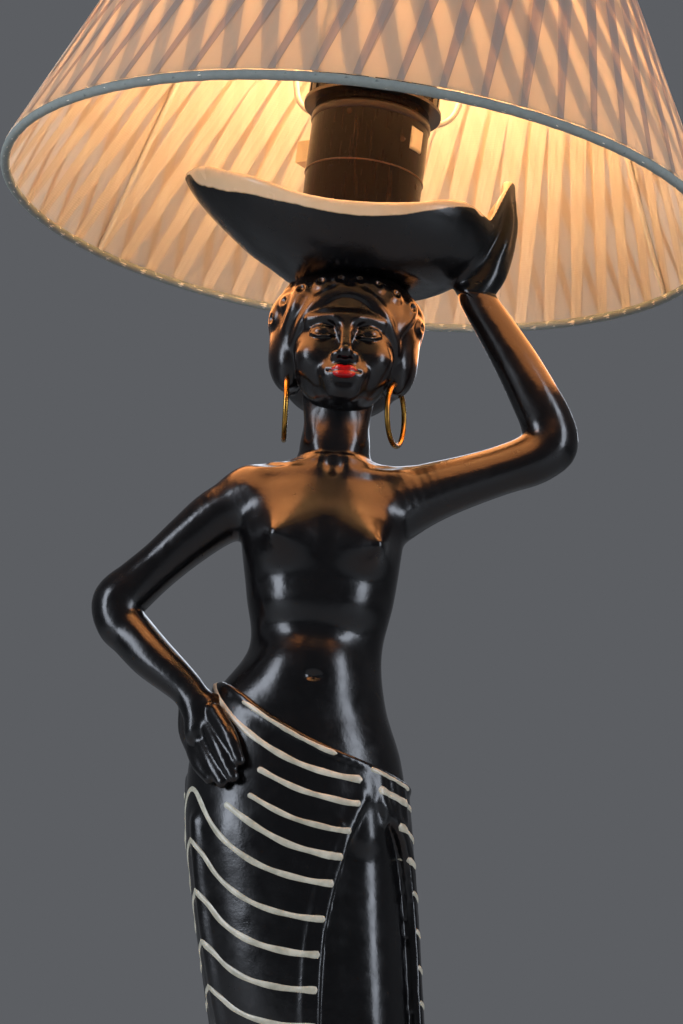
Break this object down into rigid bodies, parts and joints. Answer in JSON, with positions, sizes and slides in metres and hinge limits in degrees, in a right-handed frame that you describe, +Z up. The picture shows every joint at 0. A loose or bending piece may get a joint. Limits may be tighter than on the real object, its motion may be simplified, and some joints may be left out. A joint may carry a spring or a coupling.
{
  "type": "figural table lamp",
  "caption": "Table lamp: a standing glazed ceramic figure in a striped sarong carries a bowl on its head, with a bayonet lampholder and a ribbon-covered cone shade.",
  "frame": {"origin": "on the floor, under the centre of the shade's bottom ring, which is the middle of the bounding box's underside", "axes": "+Z up along the figure, the figure faces -Y, its raised arm is on the +X side"},
  "size_m": [0.2536, 0.2542, 0.5611],
  "materials": {
    "baize": "dark green baize",
    "black_glaze": "satin black glaze over fired earthenware",
    "bowl_glaze": "black glaze outside, cream glaze inside",
    "brass": "worn brass",
    "steel": "zinc-plated steel",
    "phenolic": "dark brown phenolic moulding",
    "cream_plastic": "cream urea moulding",
    "black_rubber": "black rubber bush",
    "porcelain": "glazed terminal porcelain",
    "glass": "frosted bulb glass",
    "black_glass": "black insulating glass",
    "aluminium": "bulb cap",
    "tungsten": "coiled tungsten",
    "solder": "solder pads",
    "spring_steel": "spring wire",
    "white_wire": "white painted steel wire",
    "tape": "pale binding tape",
    "ribbon": "cream ribbon, two layers",
    "dull_steel": "brown-grey washer"
  },
  "bodies": {
    "figure": {"base_felt": "baize", "plinth_casting": "black_glaze", "flex_grommet": "black_rubber", "skirt_casting": "black_glaze", "torso_casting": "black_glaze", "head_casting": "black_glaze", "offering_bowl": "bowl_glaze", "hip_arm": "black_glaze", "raised_arm": "black_glaze", "brass_nipple": "brass", "nipple_locknut": "brass", "floor_washer": "steel", "holder_base_cup": "phenolic", "holder_body": "phenolic", "terminal_carrier": "porcelain", "plunger_springs": "spring_steel", "terminal_blocks": "brass", "terminal_screws": "steel", "switch_blade": "brass", "bayonet_barrel": "brass"},
    "shade": {"spider_washer": "dull_steel", "shade_struts": "white_wire", "spider_arms": "white_wire", "shade_bottom_ring": "white_wire", "shade_top_ring": "white_wire", "bottom_ring_tape": "tape", "top_ring_tape": "tape", "ribbon_cover": "ribbon"},
    "clamp_ring": {"shade_clamp_ring": "phenolic"},
    "bulb": {"bulb_cap": "aluminium", "bulb_insulator": "black_glass", "bulb_contacts": "solder", "bulb_pins": "brass", "bulb_glass": "glass", "bulb_stem": "glass", "bulb_filament": "tungsten"},
    "plungers": {"contact_plungers": "brass"},
    "switch_bar": {"switch_push_bar": "cream_plastic"},
    "left_hoop": {"left_earring": "brass"},
    "right_hoop": {"right_earring": "brass"}
  },
  "joints": [
    {"name": "shade_turn", "type": "hinge", "parent": "figure", "child": "shade", "pos_m": [0, 0, 0.405], "axis": [0.0732, 0, 0.9973], "continuous": true},
    {"name": "clamp_ring_turn", "type": "hinge", "parent": "figure", "child": "clamp_ring", "pos_m": [0, 0, 0.405], "axis": [0.0732, 0, 0.9973], "continuous": true},
    {"name": "bulb_press", "type": "slide", "parent": "figure", "child": "bulb", "axis": [0.0732, 0, 0.9973], "range_m": [-0.0025, 0], "stiffness_N_per_m": 1200, "springref_m": 0.004, "deforming": ["plunger_springs"]},
    {"name": "plunger_press", "type": "slide", "parent": "figure", "child": "plungers", "axis": [0.0732, 0, 0.9973], "range_m": [-0.0025, 0]},
    {"name": "switch_slide", "type": "slide", "parent": "figure", "child": "switch_bar", "axis": [0.7965, -0.6018, -0.0585], "range_m": [0, 0.008]},
    {"name": "left_earring_swing", "type": "hinge", "parent": "figure", "child": "left_hoop", "pos_m": [-0.022, -0.005, 0.3435], "axis": [0, 1, 0], "range_deg": [-6, 40]},
    {"name": "right_earring_swing", "type": "hinge", "parent": "figure", "child": "right_hoop", "pos_m": [0.016, -0.005, 0.3435], "axis": [0.3256, 0.9455, 0], "range_deg": [-40, 6]}
  ],
  "couplings": [
    {"joint": "plunger_press", "follows": "bulb_press", "ratio": 1}
  ]
}
